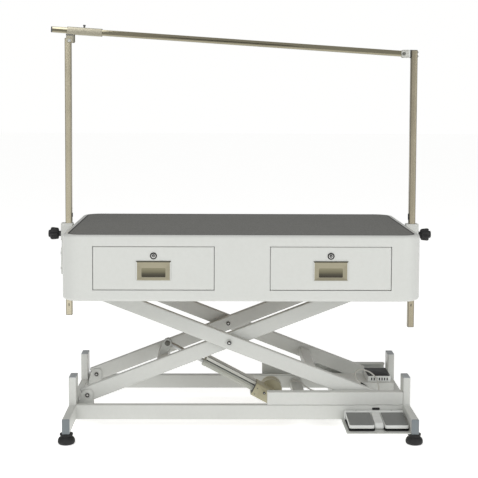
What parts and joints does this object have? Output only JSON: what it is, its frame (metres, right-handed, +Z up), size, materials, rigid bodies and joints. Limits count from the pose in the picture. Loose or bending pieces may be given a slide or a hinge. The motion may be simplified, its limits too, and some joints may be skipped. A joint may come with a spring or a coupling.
{
  "type": "grooming table",
  "caption": "Electric pet grooming table: padded-edge housing with drawers on a scissor lift, with a restraint gantry, a lift actuator and a foot switch",
  "frame": {"origin": "on the floor under the centre of the table", "axes": "+Z up, X along the table, the drawers face -Y, the foot switch is at +X"},
  "size_m": [1.3226, 0.6523, 1.3644],
  "materials": {
    "white_paint": "white powder coat, semi-gloss",
    "stainless": "brushed",
    "mat_rubber": "pebbled anti-slip rubber",
    "black_rubber": "matte",
    "black_plastic": "satin moulded",
    "zinc_steel": "zinc plated",
    "cast_gearbox": "cast, satin beige paint",
    "grey_aluminium": "anodised, satin",
    "pedal_grey": "textured",
    "plywood": "sanded",
    "cable_jacket": "smooth jacket"
  },
  "bodies": {
    "base": {"left_end_bar": "white_paint", "right_end_bar": "white_paint", "front_beam": "white_paint", "rear_beam": "white_paint", "front_left_stop_post": "white_paint", "front_right_stop_post": "white_paint", "rear_left_stop_post": "white_paint", "rear_right_stop_post": "white_paint", "front_lower_track": "white_paint", "rear_lower_track": "white_paint", "front_pivot_bracket": "white_paint", "rear_pivot_bracket": "white_paint", "actuator_cross_member": "white_paint", "control_tray": "white_paint", "switch_plate": "white_paint", "switch_housing": "white_paint", "control_box": "black_plastic", "switch_cable": "cable_jacket", "actuator_cable": "cable_jacket"},
    "inner_arms": {"front_inner_arm": "white_paint", "rear_inner_arm": "white_paint", "inner_cross_tube": "white_paint"},
    "outer_arms": {"front_outer_arm": "white_paint", "rear_outer_arm": "white_paint", "outer_cross_tube": "white_paint"},
    "table_top": {"housing_shell": "white_paint", "table_board": "plywood", "rubber_mat": "mat_rubber", "front_upper_channel": "white_paint", "rear_upper_channel": "white_paint", "upper_left_end_bar": "white_paint", "upper_right_end_bar": "white_paint", "left_clamp_bracket": "white_paint", "right_clamp_bracket": "white_paint"},
    "actuator_body": {"actuator_gearbox": "cast_gearbox", "actuator_tube": "grey_aluminium"},
    "actuator_rod": {"actuator_rod": "zinc_steel"},
    "right_post": {"right_post": "stainless"},
    "left_post": {"left_post": "stainless"},
    "top_bar": {"top_bar": "stainless"},
    "bar_sleeve": {"bar_sleeve": "stainless"},
    "thumb_screw": {"thumb_screw": "zinc_steel"},
    "left_knob": {"left_knob": "black_plastic"},
    "right_knob": {"right_knob": "black_plastic"},
    "front_lower_roller": {"front_lower_roller": "black_plastic"},
    "front_upper_roller": {"front_upper_roller": "black_plastic"},
    "rear_lower_roller": {"rear_lower_roller": "black_plastic"},
    "rear_upper_roller": {"rear_upper_roller": "black_plastic"},
    "front_left_foot": {"front_left_foot": "black_rubber"},
    "rear_left_foot": {"rear_left_foot": "black_rubber"},
    "front_right_foot": {"front_right_foot": "black_rubber"},
    "rear_right_foot": {"rear_right_foot": "black_rubber"},
    "left_drawer": {"left_drawer": "white_paint", "left_pull": "stainless"},
    "left_lock": {"left_lock": "stainless"},
    "right_drawer": {"right_drawer": "white_paint", "right_pull": "stainless"},
    "right_lock": {"right_lock": "stainless"},
    "left_pedal": {"left_pedal": "pedal_grey"},
    "right_pedal": {"right_pedal": "pedal_grey"}
  },
  "joints": [
    {"name": "lift", "type": "hinge", "parent": "base", "child": "inner_arms", "pos_m": [-0.518, 0.068, 0.104], "axis": [0, -1, 0], "range_deg": [-16.35, 27.15]},
    {"name": "outer_arms_pivot", "type": "hinge", "parent": "inner_arms", "child": "outer_arms", "pos_m": [-0.03601, 0.068, 0.29047], "axis": [0, -1, 0], "range_deg": [-54.4, 32.8]},
    {"name": "top_pivot", "type": "hinge", "parent": "outer_arms", "child": "table_top", "pos_m": [-0.518, 0.068, 0.47693], "axis": [0, -1, 0], "range_deg": [-16.4, 27.2]},
    {"name": "actuator_tilt", "type": "hinge", "parent": "base", "child": "actuator_body", "pos_m": [0.14, 0.068, 0.044], "axis": [0, 1, 0], "range_deg": [-4.7, 7.7]},
    {"name": "actuator_stroke", "type": "slide", "parent": "actuator_body", "child": "actuator_rod", "axis": [-0.8852, 0, 0.4653], "range_m": [-0.074, 0.1225]},
    {"name": "front_lower_roller_spin", "type": "hinge", "parent": "outer_arms", "child": "front_lower_roller", "pos_m": [0.44598, -0.1295, 0.104], "axis": [0, 1, 0], "continuous": true},
    {"name": "front_upper_roller_spin", "type": "hinge", "parent": "inner_arms", "child": "front_upper_roller", "pos_m": [0.44598, -0.1295, 0.47693], "axis": [0, 1, 0], "continuous": true},
    {"name": "rear_lower_roller_spin", "type": "hinge", "parent": "outer_arms", "child": "rear_lower_roller", "pos_m": [0.44598, 0.2655, 0.104], "axis": [0, 1, 0], "continuous": true},
    {"name": "rear_upper_roller_spin", "type": "hinge", "parent": "inner_arms", "child": "rear_upper_roller", "pos_m": [0.44598, 0.2655, 0.47693], "axis": [0, 1, 0], "continuous": true},
    {"name": "front_left_foot_turn", "type": "hinge", "parent": "base", "child": "front_left_foot", "pos_m": [-0.5625, -0.288, 0.017], "axis": [0, 0, 1], "continuous": true},
    {"name": "rear_left_foot_turn", "type": "hinge", "parent": "base", "child": "rear_left_foot", "pos_m": [-0.5625, 0.288, 0.017], "axis": [0, 0, 1], "continuous": true},
    {"name": "front_right_foot_turn", "type": "hinge", "parent": "base", "child": "front_right_foot", "pos_m": [0.5625, -0.288, 0.017], "axis": [0, 0, 1], "continuous": true},
    {"name": "rear_right_foot_turn", "type": "hinge", "parent": "base", "child": "rear_right_foot", "pos_m": [0.5625, 0.288, 0.017], "axis": [0, 0, 1], "continuous": true},
    {"name": "left_drawer_slide", "type": "slide", "parent": "table_top", "child": "left_drawer", "axis": [0, -1, 0], "range_m": [0, 0.12]},
    {"name": "left_lock_turn", "type": "hinge", "parent": "left_drawer", "child": "left_lock", "pos_m": [-0.2795, -0.325, 0.616], "axis": [0, 1, 0], "range_deg": [0, 90]},
    {"name": "right_drawer_slide", "type": "slide", "parent": "table_top", "child": "right_drawer", "axis": [0, -1, 0], "range_m": [0, 0.12]},
    {"name": "right_lock_turn", "type": "hinge", "parent": "right_drawer", "child": "right_lock", "pos_m": [0.283, -0.325, 0.616], "axis": [0, 1, 0], "range_deg": [0, 90]},
    {"name": "left_pedal_press", "type": "hinge", "parent": "base", "child": "left_pedal", "pos_m": [0.396, -0.16, 0.064], "axis": [1, 0, 0], "range_deg": [0, 1.7], "stiffness_Nm_per_rad": 6, "springref_deg": -3.44},
    {"name": "right_pedal_press", "type": "hinge", "parent": "base", "child": "right_pedal", "pos_m": [0.5067, -0.16, 0.064], "axis": [1, 0, 0], "range_deg": [0, 1.7], "stiffness_Nm_per_rad": 6, "springref_deg": -3.44},
    {"name": "gantry_height", "type": "slide", "parent": "table_top", "child": "right_post", "axis": [0, 0, 1], "range_m": [-0.01, 0.12]},
    {"name": "bar_tilt", "type": "hinge", "parent": "right_post", "child": "top_bar", "pos_m": [0.56, 0, 1.269], "axis": [0, 1, 0], "range_deg": [-2.2, 2]},
    {"name": "left_post_slide", "type": "slide", "parent": "right_post", "child": "left_post", "axis": [0, 0, 1], "range_m": [-0.0445, 0.0405]},
    {"name": "sleeve_pivot", "type": "hinge", "parent": "left_post", "child": "bar_sleeve", "pos_m": [-0.584, 0, 1.3085], "axis": [0, 1, 0], "range_deg": [-2.3, 2.1]},
    {"name": "left_knob_turn", "type": "hinge", "parent": "table_top", "child": "left_knob", "pos_m": [-0.64, 0, 0.6455], "axis": [1, 0, 0], "continuous": true},
    {"name": "right_knob_turn", "type": "hinge", "parent": "table_top", "child": "right_knob", "pos_m": [0.64, 0, 0.6455], "axis": [1, 0, 0], "continuous": true},
    {"name": "thumb_screw_turn", "type": "hinge", "parent": "bar_sleeve", "child": "thumb_screw", "pos_m": [-0.5357, 0, 1.35986], "axis": [0, 0, 1], "continuous": true}
  ],
  "couplings": [
    {"joint": "outer_arms_pivot", "follows": "lift", "ratio": -2},
    {"joint": "top_pivot", "follows": "lift", "ratio": 1},
    {"joint": "actuator_tilt", "follows": "lift", "ratio": 0.28},
    {"joint": "actuator_stroke", "follows": "lift", "m_per_rad": 0.257},
    {"joint": "left_post_slide", "follows": "bar_tilt", "m_per_rad": 1.1469},
    {"joint": "sleeve_pivot", "follows": "bar_tilt", "ratio": 1}
  ]
}
